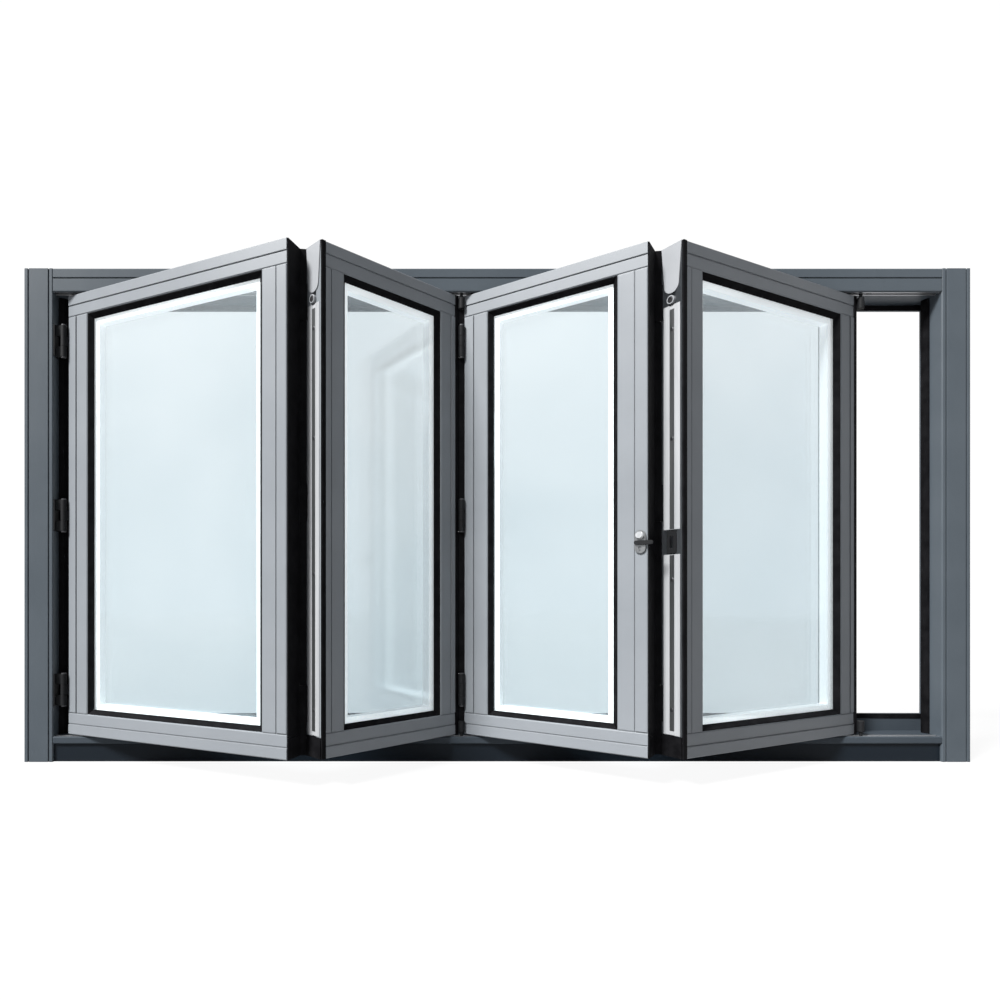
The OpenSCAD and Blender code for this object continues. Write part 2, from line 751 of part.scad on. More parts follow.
module lock_cylinder() {
    color(steel) on_lock() translate([0, lock_h / 2 - lock_w / 2, 0]) rotate_extrude()
        polygon([[0, 0], [knob_r, 0], [knob_r, lock_t + 2], [knob_r - 2, lock_t + 3],
            [knob_r - 2, lock_t + knob_out - 3], [knob_r, lock_t + knob_out - 2],
            [knob_r - 1, lock_t + knob_out], [0, lock_t + knob_out]]);
}

// a short flat lever that reaches from the plate over the joint to leaf 4
module handle_lever() {
    color(dark_steel) on_lock() translate([0, -2, lock_t]) linear_extrude(lever_t) {
        translate([-6, -4]) square([lever_reach + 2, 8]);
        translate([lever_reach - 4, 0]) circle(r = 4);
        translate([-6, 0]) circle(r = 4);
    }
}

// the slotted plate on the edge of leaf 4 that the lock catches
module lock_keeper() {
    w = lock_w;
    color(dark_steel) on_leaf(4) translate([-plate_t, leaf_t / 2 - w / 2, lock_z - lock_h / 2]) difference() {
        cube([plate_t, w, lock_h]);
        translate([-1, w / 2 - keeper_slot / 2, lock_h / 4]) cube([plate_t + 2, keeper_slot, lock_h / 2]);
    }
}

left_jamb();
right_jamb();
head();
sill();
top_track();
bottom_track();
jamb_seals();
stop_seals();
stiles(1);  // leaf1_stiles
rails(1);  // leaf1_rails
panes(1);  // leaf1_panes
spacer(1);  // leaf1_spacer
gaskets(1);  // leaf1_gaskets
beads(1);  // leaf1_beads
stiles(2);  // leaf2_stiles
rails(2);  // leaf2_rails
panes(2);  // leaf2_panes
spacer(2);  // leaf2_spacer
gaskets(2);  // leaf2_gaskets
beads(2);  // leaf2_beads
stiles(3);  // leaf3_stiles
rails(3);  // leaf3_rails
panes(3);  // leaf3_panes
spacer(3);  // leaf3_spacer
gaskets(3);  // leaf3_gaskets
beads(3);  // leaf3_beads
stiles(4);  // leaf4_stiles
rails(4);  // leaf4_rails
panes(4);  // leaf4_panes
spacer(4);  // leaf4_spacer
gaskets(4);  // leaf4_gaskets
beads(4);  // leaf4_beads
jamb_hinges();
apex_hinges_left();
valley_hinges();
apex_hinges_right();
hinge_pins();
top_carriers();
bottom_guides();
edge_plates();
bottom_caps();
handle_base();
handle_lever();
lock_cylinder();
lock_keeper();
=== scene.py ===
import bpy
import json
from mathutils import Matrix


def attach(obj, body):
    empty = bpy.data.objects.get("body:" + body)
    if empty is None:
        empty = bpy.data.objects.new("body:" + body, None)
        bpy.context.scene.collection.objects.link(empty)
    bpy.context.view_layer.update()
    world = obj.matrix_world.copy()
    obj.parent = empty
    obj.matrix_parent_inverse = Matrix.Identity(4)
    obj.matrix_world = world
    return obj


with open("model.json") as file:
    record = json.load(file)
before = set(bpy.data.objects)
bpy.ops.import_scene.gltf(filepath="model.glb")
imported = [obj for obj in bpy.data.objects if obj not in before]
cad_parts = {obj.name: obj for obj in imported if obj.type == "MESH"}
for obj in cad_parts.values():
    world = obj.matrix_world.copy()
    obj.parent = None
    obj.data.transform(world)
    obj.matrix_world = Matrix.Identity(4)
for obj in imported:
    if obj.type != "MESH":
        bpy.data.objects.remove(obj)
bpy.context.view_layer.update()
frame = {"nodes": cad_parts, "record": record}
nodes = frame["nodes"]
print("solids loaded:", len(nodes))

# %% [markdown]
# ## The tools of the lesson
#
# `bpy` is Blender itself, `bmesh` edits meshes point by point, and `Vector` does the sums
# in space. Metres are the unit everywhere, so it helps to have one short name for a
# millimetre.
# %% Short names
import json
import math

import bmesh
import bpy
from mathutils import Matrix, Vector

MM = 0.001
scene = bpy.context.scene
print("Blender", bpy.app.version_string)

# %% [markdown]
# ## Where the camera stands
#
# The picture looks straight at the frame, so its uprights stay parallel and only the open
# leaves swell towards the viewer. Such a view comes from a level camera that is not
# turned at all: its sensor is shifted instead. The leaves look large where they come
# forward, which means that the camera stands close, about a metre and a half away. The
# plain "Standard" view keeps white paper white; a filmic curve would turn it grey.
#
# The frame's width in millimetres and in pixels gives the size of a pixel. The column of
# the frame's middle and the row of its underside then say where the camera has to be.
# %% The camera
FRAME_W, FRAME_PIXELS, PICTURE_PIXELS = 2100, 947, 1000
MIDDLE_PX, GROUND_PX = 497.5, 762
SCALE = FRAME_W * MM / FRAME_PIXELS
lens_px = 680
centre_px = (340.0, 598.0)
SENSOR = 36
left_jamb = nodes["left_jamb"]
frame_front = min((left_jamb.matrix_world @ Vector(c)).y for c in left_jamb.bound_box)

camera_data = bpy.data.cameras.new("view")
camera_data.sensor_width = SENSOR
camera_data.lens = SENSOR * lens_px / PICTURE_PIXELS
camera_data.shift_x = (PICTURE_PIXELS / 2 - centre_px[0]) / PICTURE_PIXELS
camera_data.shift_y = (centre_px[1] - PICTURE_PIXELS / 2) / PICTURE_PIXELS
camera = bpy.data.objects.new("view", camera_data)
camera.location = ((centre_px[0] - MIDDLE_PX) * SCALE, frame_front - lens_px * SCALE,
                   (GROUND_PX - centre_px[1]) * SCALE)
camera.rotation_euler = (math.radians(90), 0, 0)
scene.collection.objects.link(camera)
scene.camera = camera
scene.view_settings.view_transform = "Standard"
print("camera at", [round(v, 3) for v in camera.location], "lens", round(camera_data.lens, 1))

# %% [markdown]
# ## A pale room to stand in
#
# The window is shown on plain white. A floor that curves up into a wall has no corner for
# the eye to catch, so it reads as empty space. It is one strip of mesh, swept along a
# quarter circle.
# %% The floor and wall in one strip
def sweep_floor(width, front, back, bend, top):
    mesh = bpy.data.meshes.new("pale_floor")
    bm = bmesh.new()
    path = [(front, 0.0)]
    steps = 16
    for i in range(steps + 1):
        a = math.radians(90 * i / steps)
        path.append((back - bend + bend * math.sin(a), bend - bend * math.cos(a)))
    path.append((back, top))
    rows = [[bm.verts.new((x, y, z)) for x in (-width, width)] for y, z in path]
    for a, b in zip(rows, rows[1:]):
        bm.faces.new((a[0], a[1], b[1], b[0]))
    bm.to_mesh(mesh)
    bm.free()
    for face in mesh.polygons:
        face.use_smooth = True
    strip = bpy.data.objects.new("pale_floor", mesh)
    scene.collection.objects.link(strip)
    return strip


pale_floor = sweep_floor(width=14.0, front=-9.0, back=7.0, bend=2.5, top=8.0)
print("floor points:", len(pale_floor.data.vertices))

# %% [markdown]
# ## Materials made of nodes
#
# Every finish here is one Principled shader with a few texture nodes in front of it. The
# helper below makes an empty material and hands back its tree, so that each finish can
# add only what is its own. A mix node keeps its sockets for numbers and for colours side by
# side under the same names, so they are picked by their place, and the places get names.
# %% A blank material
NUMBER_A, NUMBER_B, NUMBER_OUT = 2, 3, 0
COLOUR_A, COLOUR_B, COLOUR_OUT = 6, 7, 2


def blank(name):
    material = bpy.data.materials.new(name)
    material.use_nodes = True
    tree = material.node_tree
    shader = tree.nodes["Principled BSDF"]
    return material, tree, shader


def add(tree, kind, **values):
    node = tree.nodes.new(kind)
    for key, value in values.items():
        if key in node.inputs:
            node.inputs[key].default_value = value
        else:
            setattr(node, key, value)
    return node


def shades(tree, factor, dark, light, low=0.0, high=1.0):
    ramp = tree.nodes.new("ShaderNodeValToRGB")
    ramp.color_ramp.elements[0].position = low
    ramp.color_ramp.elements[0].color = (*dark, 1)
    ramp.color_ramp.elements[1].position = high
    ramp.color_ramp.elements[1].color = (*light, 1)
    tree.links.new(factor, ramp.inputs["Fac"])
    return ramp


print("helpers ready")

# %% [markdown]
# ## Powder paint
#
# Window profiles are coated with powder that melts into a thin, slightly dimpled skin.
# Seen close, it is orange peel a few tenths of a millimetre deep; seen far, it is a satin
# sheen. A fine noise drives the bump, a broad one shifts the colour, and a stretched one
# leaves the upright wipe marks that cleaning puts into the gloss. The coat also rounds
# every sharp edge by about a millimetre and a half, which is what draws the bright lines
# along a real profile, so a bevel node bends the light there. The plates high on the leaf
# edges get a lighter copy of the leaf paint, so that they look lit: painted light.
# %% Powder paint
def powder_paint(name, dark, light, roughness, mirror=0.25, peel=520.0):
    material, tree, shader = blank(name)
    where = add(tree, "ShaderNodeTexCoord")
    broad = add(tree, "ShaderNodeTexNoise", Scale=5.0, Detail=5.0, Roughness=0.6)
    fine = add(tree, "ShaderNodeTexNoise", Scale=peel, Detail=2.0, Roughness=0.5)
    tree.links.new(where.outputs["Object"], broad.inputs["Vector"])
    tree.links.new(where.outputs["Object"], fine.inputs["Vector"])
    colour = shades(tree, broad.outputs["Fac"], dark, light, 0.3, 0.7)
    tree.links.new(colour.outputs["Color"], shader.inputs["Base Color"])
    shader.inputs["Specular IOR Level"].default_value = mirror
    wiped = add(tree, "ShaderNodeMapping")
    wiped.inputs["Scale"].default_value = (9.0, 9.0, 1.2)
    marks = add(tree, "ShaderNodeTexNoise", Scale=6.0, Detail=7.0, Roughness=0.7, Distortion=0.6)
    tree.links.new(where.outputs["Object"], wiped.inputs["Vector"])
    tree.links.new(wiped.outputs["Vector"], marks.inputs["Vector"])
    gloss = add(tree, "ShaderNodeMapRange")
    gloss.inputs["To Min"].default_value = roughness - 0.07
    gloss.inputs["To Max"].default_value = roughness + 0.08
    tree.links.new(marks.outputs["Fac"], gloss.inputs["Value"])
    tree.links.new(gloss.outputs["Result"], shader.inputs["Roughness"])
    soft_edge = add(tree, "ShaderNodeBevel", samples=4)
    soft_edge.inputs["Radius"].default_value = 1.6 * MM
    bump = add(tree, "ShaderNodeBump", Strength=0.12, Distance=0.0002)
    tree.links.new(soft_edge.outputs["Normal"], bump.inputs["Normal"])
    tree.links.new(fine.outputs["Fac"], bump.inputs["Height"])
    tree.links.new(bump.outputs["Normal"], shader.inputs["Normal"])
    return material


frame_paint = powder_paint("frame_paint", (0.045, 0.056, 0.067), (0.056, 0.068, 0.080), 0.42)
leaf_paint = powder_paint("leaf_paint", (0.150, 0.163, 0.178), (0.172, 0.186, 0.202), 0.38)
dark_paint = powder_paint("dark_paint", (0.005, 0.0055, 0.006), (0.010, 0.0105, 0.012), 0.6, 0.12)
# painted light: the edge plates get a lighter copy of the leaf paint so that they look lit
plate_paint_painted_light = powder_paint("plate_paint_painted_light", (0.235, 0.245, 0.26), (0.27, 0.28, 0.295), 0.34)
print("paints:", frame_paint.name, leaf_paint.name, dark_paint.name, plate_paint_painted_light.name)

# %% [markdown]
# ## The sill's dark foot
#
# Under its nosing the sill steps back, and that lower part, which lies in the nosing's
# shade, is painted nearly black: painted shade. The rest of the sill is also painted darker
# than the frame, which is painted shade too. One paint with two colours does it: the height
# of a point chooses, and its depth keeps the painted shade off the back of the sill.
# %% Sill paint with painted shade
FOOT_TOP = 40.5 * MM
FOOT_BACK = -25 * MM
FOOT_BLEND = 1 * MM


def sill_with_painted_shade(name, painted_shade_colour):
    # painted shade: the sill's own colours are darker than the frame paint
    material = powder_paint(name, (0.029, 0.037, 0.046), (0.038, 0.047, 0.057), 0.5, 0.12)
    tree = material.node_tree
    shader = tree.nodes["Principled BSDF"]
    upper = shader.inputs["Base Color"].links[0].from_socket
    where = add(tree, "ShaderNodeTexCoord")
    axes = add(tree, "ShaderNodeSeparateXYZ")
    tree.links.new(where.outputs["Object"], axes.inputs["Vector"])
    above = add(tree, "ShaderNodeMapRange")
    above.inputs["From Min"].default_value = FOOT_TOP - FOOT_BLEND
    above.inputs["From Max"].default_value = FOOT_TOP
    tree.links.new(axes.outputs["Z"], above.inputs["Value"])
    behind = add(tree, "ShaderNodeMapRange")
    behind.inputs["From Min"].default_value = FOOT_BACK - FOOT_BLEND
    behind.inputs["From Max"].default_value = FOOT_BACK
    tree.links.new(axes.outputs["Y"], behind.inputs["Value"])
    outside_painted_shade = add(tree, "ShaderNodeMath", operation="MAXIMUM")
    tree.links.new(above.outputs["Result"], outside_painted_shade.inputs[0])
    tree.links.new(behind.outputs["Result"], outside_painted_shade.inputs[1])
    # painted shade: below FOOT_TOP and in front of FOOT_BACK the sill is painted nearly black
    painted_shade_mix = add(tree, "ShaderNodeMix", data_type="RGBA")
    painted_shade_mix.inputs[COLOUR_A].default_value = (*painted_shade_colour, 1)
    tree.links.new(outside_painted_shade.outputs["Value"], painted_shade_mix.inputs["Factor"])
    tree.links.new(upper, painted_shade_mix.inputs[COLOUR_B])
    tree.links.new(painted_shade_mix.outputs[COLOUR_OUT], shader.inputs["Base Color"])
    return material


sill_shaded_paint = sill_with_painted_shade("sill_shaded_paint", (0.005, 0.008, 0.012))
print("sill paint ready")

# %% [markdown]
# ## Bare metal
#
# Tracks, pins and the lock are not painted. Extruded aluminium keeps faint lines along its
# length, so the noise is stretched, and the lines go into roughness and bump. The lock's
# plate is a darker, satin nickel, and the pins have gone dull in the weather.
# %% Bare metal
def bare_metal(name, dark, light, roughness, stretch):
    material, tree, shader = blank(name)
    where = add(tree, "ShaderNodeTexCoord")
    squeeze = add(tree, "ShaderNodeMapping")
    squeeze.inputs["Scale"].default_value = stretch
    lines = add(tree, "ShaderNodeTexNoise", Scale=90.0, Detail=6.0, Roughness=0.65)
    tree.links.new(where.outputs["Object"], squeeze.inputs["Vector"])
    tree.links.new(squeeze.outputs["Vector"], lines.inputs["Vector"])
    colour = shades(tree, lines.outputs["Fac"], dark, light, 0.3, 0.7)
    tree.links.new(colour.outputs["Color"], shader.inputs["Base Color"])
    shader.inputs["Metallic"].default_value = 0.9
    gloss = add(tree, "ShaderNodeMapRange")
    gloss.inputs["To Min"].default_value = roughness - 0.08
    gloss.inputs["To Max"].default_value = roughness + 0.08
    tree.links.new(lines.outputs["Fac"], gloss.inputs["Value"])
    tree.links.new(gloss.outputs["Result"], shader.inputs["Roughness"])
    bump = add(tree, "ShaderNodeBump", Strength=0.1, Distance=0.0002)
    tree.links.new(lines.outputs["Fac"], bump.inputs["Height"])
    tree.links.new(bump.outputs["Normal"], shader.inputs["Normal"])
    return material


track_metal = bare_metal("track_metal", (0.42, 0.43, 0.45), (0.55, 0.56, 0.58), 0.4,
                         stretch=(0.05, 1.0, 1.0))
fitting_steel = bare_metal("fitting_steel", (0.5, 0.51, 0.52), (0.68, 0.69, 0.7), 0.28,
                           stretch=(1.0, 1.0, 0.1))
lock_nickel = bare_metal("lock_nickel", (0.14, 0.145, 0.15), (0.21, 0.215, 0.22), 0.34,
                         stretch=(1.0, 1.0, 0.2))
pin_steel = bare_metal("pin_steel", (0.05, 0.05, 0.055), (0.10, 0.10, 0.105), 0.45,
                       stretch=(1.0, 1.0, 0.2))
print("metals:", track_metal.name, fitting_steel.name, lock_nickel.name, pin_steel.name)

# %% [markdown]
# ## Black rubber
#
# Gaskets are soft and matt, with a dusty bloom. Rubber has almost no colour of its own, so
# the change is in how grey it looks where the bloom lies.
# %% Black rubber
def black_rubber(name):
    material, tree, shader = blank(name)
    where = add(tree, "ShaderNodeTexCoord")
    bloom = add(tree, "ShaderNodeTexNoise", Scale=40.0, Detail=6.0, Roughness=0.6)
    grain = add(tree, "ShaderNodeTexNoise", Scale=900.0, Detail=2.0)
    tree.links.new(where.outputs["Object"], bloom.inputs["Vector"])
    tree.links.new(where.outputs["Object"], grain.inputs["Vector"])
    colour = shades(tree, bloom.outputs["Fac"], (0.002, 0.002, 0.0025), (0.007, 0.007, 0.008),
                    0.35, 0.75)
    shader.inputs["Specular IOR Level"].default_value = 0.04
    tree.links.new(colour.outputs["Color"], shader.inputs["Base Color"])
    gloss = add(tree, "ShaderNodeMapRange")
    gloss.inputs["To Min"].default_value = 0.62
    gloss.inputs["To Max"].default_value = 0.8
    tree.links.new(bloom.outputs["Fac"], gloss.inputs["Value"])
    tree.links.new(gloss.outputs["Result"], shader.inputs["Roughness"])
    bump = add(tree, "ShaderNodeBump", Strength=0.2, Distance=0.0002)
    tree.links.new(grain.outputs["Fac"], bump.inputs["Height"])
    tree.links.new(bump.outputs["Normal"], shader.inputs["Normal"])
    return material


rubber = black_rubber("rubber")
print("rubber ready")

# %% [markdown]
# ## The white spacer
#
# A bar of white plastic foam holds the two sheets of glass apart. It shows as a thin bright
# line inside the black gasket, and has a fine grain. It also glows faintly, though it is no
# lamp: painted light that keeps it bright on the shaded leaves too.
# %% White spacer
def white_spacer(name):
    material, tree, shader = blank(name)
    where = add(tree, "ShaderNodeTexCoord")
    grain = add(tree, "ShaderNodeTexNoise", Scale=260.0, Detail=4.0)
    tree.links.new(where.outputs["Object"], grain.inputs["Vector"])
    colour = shades(tree, grain.outputs["Fac"], (0.90, 0.91, 0.91), (0.96, 0.965, 0.965),
                    0.35, 0.65)
    tree.links.new(colour.outputs["Color"], shader.inputs["Base Color"])
    gloss = add(tree, "ShaderNodeMapRange")
    gloss.inputs["To Min"].default_value = 0.5
    gloss.inputs["To Max"].default_value = 0.65
    tree.links.new(grain.outputs["Fac"], gloss.inputs["Value"])
    tree.links.new(gloss.outputs["Result"], shader.inputs["Roughness"])
    bump = add(tree, "ShaderNodeBump", Strength=0.15, Distance=0.0003)
    tree.links.new(grain.outputs["Fac"], bump.inputs["Height"])
    tree.links.new(bump.outputs["Normal"], shader.inputs["Normal"])
    # painted light: a faint glow in the spacer's own colour keeps it bright in shade
    tree.links.new(colour.outputs["Color"], shader.inputs["Emission Color"])
    shader.inputs["Emission Strength"].default_value = 0.35
    return material


spacer_with_painted_glow = white_spacer("spacer_with_painted_glow")
print("spacer ready")

# %% [markdown]
# ## Glass
#
# Window glass is clear, faintly blue where it is thick, and mirrors the sky. A full glass
# shader would bend light through two sheets and cast dark shadows, so each sheet is a mix
# instead: mostly a see-through layer that tints what lies behind, a thin haze, and a
# mirror. Besides the faint blue, the tint carries a painted sky reflection: it drifts in
# patches like cloud and is painted palest at the top. A look through the unit crosses four
# faces, two on each sheet, so each takes only a fourth root of the tint that is wanted.
# The mirror is weak when seen square on and strong at a glancing angle; a layer weight
# raised to the fifth power gives that curve.
# %% Glass
COATED, GLANCING = 0.065, 0.9
PANE_FOOT, PANE_TOP = 100 * MM, 1000 * MM


def window_glass(name):
    material, tree, shader = blank(name)
    where = add(tree, "ShaderNodeTexCoord")
    cloud = add(tree, "ShaderNodeTexNoise", Scale=2.6, Detail=2.5, Roughness=0.45, Distortion=0.3)
    tree.links.new(where.outputs["Object"], cloud.inputs["Vector"])
    axes = add(tree, "ShaderNodeSeparateXYZ")
    tree.links.new(where.outputs["Object"], axes.inputs["Vector"])
    height = add(tree, "ShaderNodeMapRange")
    height.inputs["From Min"].default_value = PANE_FOOT
    height.inputs["From Max"].default_value = PANE_TOP
    tree.links.new(axes.outputs["Z"], height.inputs["Value"])
    # painted sky reflection: the tint is made paler towards the top and in patches of the noise
    painted_sky_paleness = add(tree, "ShaderNodeMix", data_type="FLOAT")
    painted_sky_paleness.inputs["Factor"].default_value = 0.5
    tree.links.new(cloud.outputs["Fac"], painted_sky_paleness.inputs[NUMBER_A])
    tree.links.new(height.outputs["Result"], painted_sky_paleness.inputs[NUMBER_B])
    tint_and_painted_sky = shades(tree, painted_sky_paleness.outputs[NUMBER_OUT], (0.857, 0.895, 0.910),
                  (0.938, 0.958, 0.965), 0.2, 0.8)
    through = add(tree, "ShaderNodeBsdfTransparent")
    tree.links.new(tint_and_painted_sky.outputs["Color"], through.inputs["Color"])
    colour = shades(tree, cloud.outputs["Fac"], (0.66, 0.74, 0.77), (0.80, 0.87, 0.89),
                    0.32, 0.68)
    tree.links.new(colour.outputs["Color"], shader.inputs["Base Color"])
    shader.inputs["Roughness"].default_value = 0.05
    ripple = add(tree, "ShaderNodeTexNoise", Scale=1.5, Detail=0.0)
    tree.links.new(where.outputs["Object"], ripple.inputs["Vector"])
    bump = add(tree, "ShaderNodeBump", Strength=0.02, Distance=0.001)
    tree.links.new(ripple.outputs["Fac"], bump.inputs["Height"])
    tree.links.new(bump.outputs["Normal"], shader.inputs["Normal"])
    haze = add(tree, "ShaderNodeMapRange")
    haze.inputs["To Min"].default_value = 0.012
    haze.inputs["To Max"].default_value = 0.030
    tree.links.new(cloud.outputs["Fac"], haze.inputs["Value"])
    sheet = add(tree, "ShaderNodeMixShader")
    tree.links.new(haze.outputs["Result"], sheet.inputs["Fac"])
    tree.links.new(through.outputs["BSDF"], sheet.inputs[1])
    tree.links.new(shader.outputs["BSDF"], sheet.inputs[2])
    slant = add(tree, "ShaderNodeLayerWeight", Blend=0.5)
    curve = add(tree, "ShaderNodeMath", operation="POWER")
    curve.inputs[1].default_value = 5.0
    tree.links.new(slant.outputs["Facing"], curve.inputs[0])
    share = add(tree, "ShaderNodeMapRange")
    share.inputs["To Min"].default_value = COATED
    share.inputs["To Max"].default_value = GLANCING
    tree.links.new(curve.outputs["Value"], share.inputs["Value"])
    mirror = add(tree, "ShaderNodeBsdfGlossy", Color=(0.93, 0.97, 1.0, 1), Roughness=0.09)
    tree.links.new(bump.outputs["Normal"], mirror.inputs["Normal"])
    face = add(tree, "ShaderNodeMixShader")
    tree.links.new(share.outputs["Result"], face.inputs["Fac"])
    tree.links.new(sheet.outputs["Shader"], face.inputs[1])
    tree.links.new(mirror.outputs["BSDF"], face.inputs[2])
    out = tree.nodes["Material Output"]
    tree.links.new(face.outputs["Shader"], out.inputs["Surface"])
    return material


glass = window_glass("glass")
print("glass ready")

# %% [markdown]
# ## Give each solid its finish
#
# The loaded record says which slot each solid belongs to. One table turns slots into
# materials, a second one holds the few solids whose finish is a variant of their slot's,
# and a loop puts them on.
# %% Finishes on the solids
finish_of = {
    "frame_paint": frame_paint,
    "leaf_paint": leaf_paint,
    "mill_aluminium": track_metal,
    "bare_steel": fitting_steel,
    "dark_steel": dark_paint,
    "black_rubber": rubber,
    "white_spacer": spacer_with_painted_glow,
    "clear_glass": glass,
}
own_finish = {
    "sill": sill_shaded_paint,
    "edge_plates": plate_paint_painted_light,
    "handle_base": lock_nickel,
    "hinge_pins": pin_steel,
}
slot_of = {part["node"]: part["material_slot"] for part in frame["record"]["subparts"]}
for name, solid in nodes.items():
    material = own_finish.get(name) or finish_of[slot_of[name]]
    solid.data.materials.clear()
    solid.data.materials.append(material)
print("finished", len(slot_of), "solids")

# %% [markdown]
# ## Where each leaf stands
#
# Small fittings have to sit on the edge or the back of a turned leaf. The drawing gives
# each leaf its own corner, turn and width, so one matrix a leaf carries any point from the
# leaf's own ground plan into the room. The two foremost hinge lines, called apexes here,
# follow by walking one leaf's width back from the track.
# %% Leaf places
LEAF_Z, LEAF_T, AXIS_OFF, HALF_GAP = 59.0, 50.0, 7.0, 3.0
OUTER_W, INNER_W = 566.0, 385.0
AXIS_Y = -26.0
JAMB_W, HANG_GAP, HANG_LEAD = 64.0, 26.0, 7.0
FOLD_LEFT, FOLD_RIGHT = 39.0, 37.7
HANG_X = -FRAME_W / 2 + JAMB_W + HANG_GAP - HANG_LEAD
ACROSS = LEAF_T + 2 * AXIS_OFF


def reach(along, out):
    arm = math.hypot(along, ACROSS)
    return math.sqrt(arm * arm - out * out), math.asin(out / arm) + math.atan2(ACROSS, along)


def swing(along, turn):
    return math.hypot(along, ACROSS) * math.sin(math.radians(turn) - math.atan2(ACROSS, along))


inner_arm, outer_arm = 2 * HALF_GAP + INNER_W, 2 * HALF_GAP + OUTER_W
out_left, out_right = swing(inner_arm, FOLD_LEFT), swing(inner_arm, FOLD_RIGHT)
step1, turn1 = reach(HANG_LEAD + OUTER_W + HALF_GAP, out_left)
step2, turn2 = reach(inner_arm, out_left)
step3, turn3 = reach(inner_arm, out_right)
step4, turn4 = reach(outer_arm, out_right)
apex_left = (HANG_X + step1, AXIS_Y - out_left)
valley_x = apex_left[0] + step2
apex_right = (valley_x + step3, AXIS_Y - out_right)
end_x = apex_right[0] + step4


def turned_at(x, y, z, turn):
    return Matrix.Translation(Vector((x, y, z)) * MM) @ Matrix.Rotation(turn, 4, "Z")


def right_leaf(axis_x, turn, width):
    corner = Matrix.Translation(Vector((-HALF_GAP - width, AXIS_OFF, 0)) * MM)
    return turned_at(axis_x, AXIS_Y, LEAF_Z, turn) @ corner


leaf2_place = right_leaf(valley_x, turn2, INNER_W)
leaf4_place = right_leaf(end_x, turn4, OUTER_W)
print("turns in degrees:", [round(math.degrees(t), 2) for t in (turn1, turn2, turn3, turn4)])

# %% [markdown]
# ## One way to make a small piece
#
# Each small piece below is drawn as a list of faces in its leaf's own millimetres. This
# helper turns the list into a mesh, joins double points, faces the surface outwards, and
# lets the piece ride with the window.
# %% From faces to a piece
def small_piece(name, material, faces_in_mm, place):
    mesh = bpy.data.meshes.new(name)
    bm = bmesh.new()
    for corners in faces_in_mm:
        bm.faces.new([bm.verts.new(place @ (Vector(c) * MM)) for c in corners])
    bmesh.ops.remove_doubles(bm, verts=bm.verts, dist=1e-6)
    bmesh.ops.recalc_face_normals(bm, faces=bm.faces)
    bm.to_mesh(mesh)
    bm.free()
    piece = bpy.data.objects.new(name, mesh)
    scene.collection.objects.link(piece)
    piece.data.materials.append(material)
    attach(piece, "root")
    return piece


def prism(plan, low, high):
    walls = [[(*a, low), (*b, low), (*b, high), (*a, high)]
             for a, b in zip(plan, plan[1:] + plan[:1])]
    return walls + [[(*p, low) for p in plan], [(*p, high) for p in reversed(plan)]]


print("ready to make small pieces")

# %% [markdown]
# ## Silver strips on the leaf edges
#
# Where two leaves meet at the front, the edge of the right one carries a long metal strip
# that guides the lock rods. It is a drawn aluminium channel: two flat ribs with a sunken
# band between them, screwed over the fittings groove. A level profile pushed upwards makes
# it in one move. On leaf 4 it stops short above and below the lock's keeper.
# %% Edge strips
edge_silver = bare_metal("edge_silver", (0.31, 0.32, 0.335), (0.39, 0.40, 0.415), 0.46,
                         stretch=(1.0, 1.0, 0.04))
edge_silver.node_tree.nodes["Principled BSDF"].inputs["Metallic"].default_value = 0.3
STRIP_UP, STRIP_LOW = 1.6, 0.7
STRIP_FOOT, STRIP_TOP = 42.0, 866.0
KEEPER_FOOT, KEEPER_TOP = 388.0, 436.0
strip_plan = [(0.0, 7.0), (-STRIP_UP + 0.4, 7.0), (-STRIP_UP, 7.4), (-STRIP_UP, 18.6),
              (-STRIP_UP + 0.4, 19.0), (-STRIP_LOW, 19.0), (-STRIP_LOW, 30.0),
              (-STRIP_UP + 0.4, 30.0), (-STRIP_UP, 30.4), (-STRIP_UP, 42.6),
              (-STRIP_UP + 0.4, 43.0), (0.0, 43.0)]
strip2 = small_piece("leaf2_edge_strip", edge_silver,
                     prism(strip_plan, STRIP_FOOT, STRIP_TOP), leaf2_place)
strip4 = small_piece("leaf4_edge_strip", edge_silver,
                     prism(strip_plan, STRIP_FOOT, KEEPER_FOOT)
                     + prism(strip_plan, KEEPER_TOP, STRIP_TOP), leaf4_place)
print("strip faces:", len(strip2.data.polygons), len(strip4.data.polygons))

# %% [markdown]
# ## The lock rod between the ribs
#
# A flat steel rod slides in the sunken band when the lever turns. It is darker than the
# strip, so it reads as the grey line down the middle of each edge. It is one thin bar with
# broken corners, and the screws of the strip pass through it.
# %% Lock rods
rod_steel = bare_metal("rod_steel", (0.10, 0.105, 0.11), (0.15, 0.155, 0.16), 0.42,
                       stretch=(1.0, 1.0, 0.04))
ROD_UP, ROD_SHORT, KEEPER_GAP = STRIP_LOW + 0.6, 8.0, 1.0
rod_plan = [(-STRIP_LOW, 19.6), (-ROD_UP + 0.2, 19.6), (-ROD_UP, 19.8), (-ROD_UP, 29.2),
            (-ROD_UP + 0.2, 29.4), (-STRIP_LOW, 29.4)]
rod_foot, rod_top = STRIP_FOOT + ROD_SHORT, STRIP_TOP - ROD_SHORT
rod2 = small_piece("leaf2_lock_rod", rod_steel,
                   prism(rod_plan, rod_foot, rod_top), leaf2_place)
rod4 = small_piece("leaf4_lock_rod", rod_steel,
                   prism(rod_plan, rod_foot, KEEPER_FOOT - KEEPER_GAP)
                   + prism(rod_plan, KEEPER_TOP + KEEPER_GAP, rod_top), leaf4_place)
print("rod faces:", len(rod2.data.polygons), len(rod4.data.polygons))

